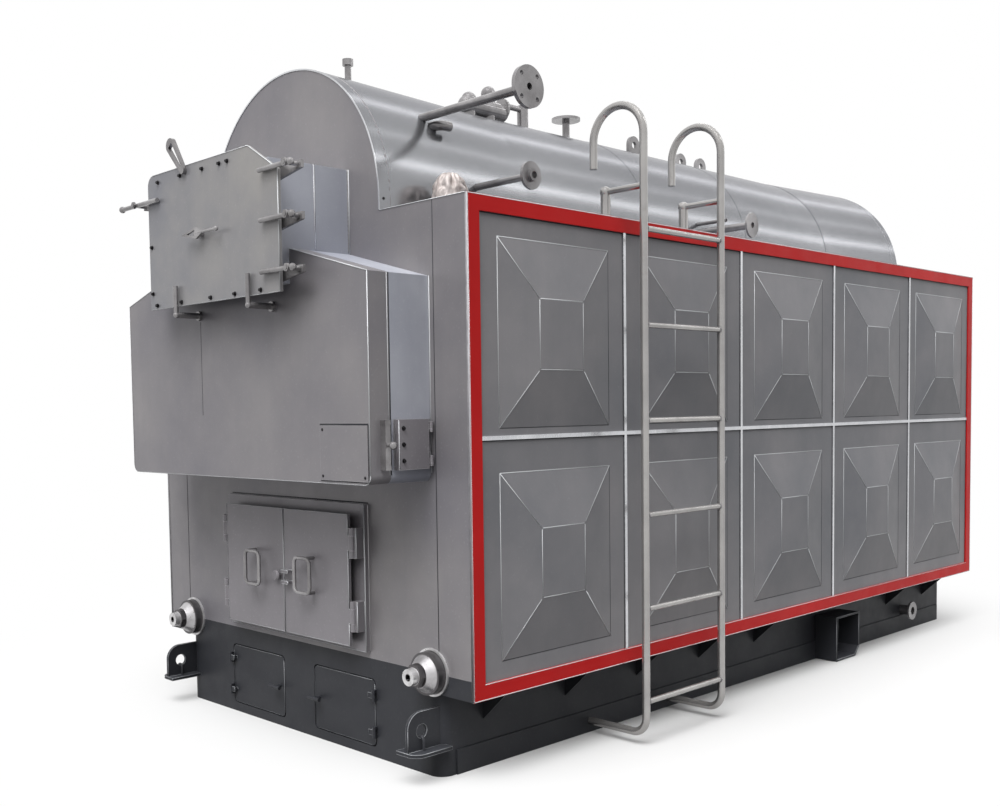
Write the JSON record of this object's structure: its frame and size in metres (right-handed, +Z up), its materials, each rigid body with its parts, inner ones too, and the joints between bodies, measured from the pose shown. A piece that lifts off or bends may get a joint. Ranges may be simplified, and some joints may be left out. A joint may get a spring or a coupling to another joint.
{
  "type": "packaged industrial boiler",
  "caption": "Packaged solid-fuel boiler on a steel base: clad casing, half-round drum hood, front box, fire and ash doors, smoke box door, roof ladder and steam outlet.",
  "frame": {"origin": "on the ground, in the middle of the base", "axes": "+X to the ladder side, -Y to the firing front, +Z up"},
  "size_m": [2.4145, 5.0709, 3.076],
  "materials": {
    "casing_grey": "satin",
    "door_grey": "satin",
    "drum_silver": "satin",
    "frame_red": "satin",
    "base_charcoal": "satin",
    "bright_steel": "satin",
    "grate_iron": "matte",
    "firebrick": "matte",
    "lagging": "satin"
  },
  "bodies": {
    "boiler": {"front_wall": "casing_grey", "rear_wall": "casing_grey", "right_casing": "casing_grey", "left_casing": "casing_grey", "right_roof": "casing_grey", "left_roof": "casing_grey", "right_panels": "casing_grey", "left_panels": "casing_grey", "hopper_collar": "casing_grey", "hopper_cover": "casing_grey", "access_panel": "casing_grey", "smoke_box": "casing_grey", "smoke_door": "casing_grey", "flue_outlet": "casing_grey", "rear_cover": "casing_grey", "fire_frame": "door_grey", "hatch_frame": "door_grey", "drum_casing": "drum_silver", "right_frame": "frame_red", "left_frame": "frame_red", "base_front": "base_charcoal", "base_back": "base_charcoal", "base_right_side": "base_charcoal", "base_left_side": "base_charcoal", "base_floor": "base_charcoal", "floor_deck": "base_charcoal", "right_gussets": "base_charcoal", "left_gussets": "base_charcoal", "air_duct": "base_charcoal", "tow_brackets": "base_charcoal", "right_strips": "bright_steel", "left_strips": "bright_steel", "ladder_rails": "bright_steel", "ladder_rungs": "bright_steel", "ladder_braces": "bright_steel", "steam_outlet": "bright_steel", "side_branches": "bright_steel", "top_stubs": "bright_steel", "lifting_lugs": "bright_steel", "door_dogs": "bright_steel", "hatch_latch": "bright_steel", "grate_tensioners": "bright_steel", "valve_header": "bright_steel", "chain_grate": "grate_iron", "grate_shafts": "grate_iron", "furnace_lining": "firebrick", "lagged_stub": "lagging"},
    "fire_door_right": {"fire_door_right": "door_grey", "fire_handle_right": "bright_steel"},
    "fire_door_left": {"fire_door_left": "door_grey", "fire_handle_left": "bright_steel"},
    "ash_door_right": {"ash_door_right": "base_charcoal"},
    "ash_door_left": {"ash_door_left": "base_charcoal"},
    "hatch_door": {"hatch_door": "door_grey"}
  },
  "joints": [
    {"name": "fire_door_right_hinge", "type": "hinge", "parent": "boiler", "child": "fire_door_right", "pos_m": [0.477, -2.322, 0.738], "axis": [0, 0, 1], "range_deg": [0, 115]},
    {"name": "fire_door_left_hinge", "type": "hinge", "parent": "boiler", "child": "fire_door_left", "pos_m": [-0.477, -2.322, 0.738], "axis": [0, 0, -1], "range_deg": [0, 115]},
    {"name": "ash_door_right_hinge", "type": "hinge", "parent": "boiler", "child": "ash_door_right", "pos_m": [0.541, -2.275, 0.185], "axis": [0, 0, 1], "range_deg": [0, 110]},
    {"name": "ash_door_left_hinge", "type": "hinge", "parent": "boiler", "child": "ash_door_left", "pos_m": [-0.541, -2.275, 0.185], "axis": [0, 0, -1], "range_deg": [0, 110]},
    {"name": "hatch_hinge", "type": "hinge", "parent": "boiler", "child": "hatch_door", "pos_m": [0.921, -2.277, 1.307], "axis": [0, 0, 1], "range_deg": [0, 90]}
  ]
}
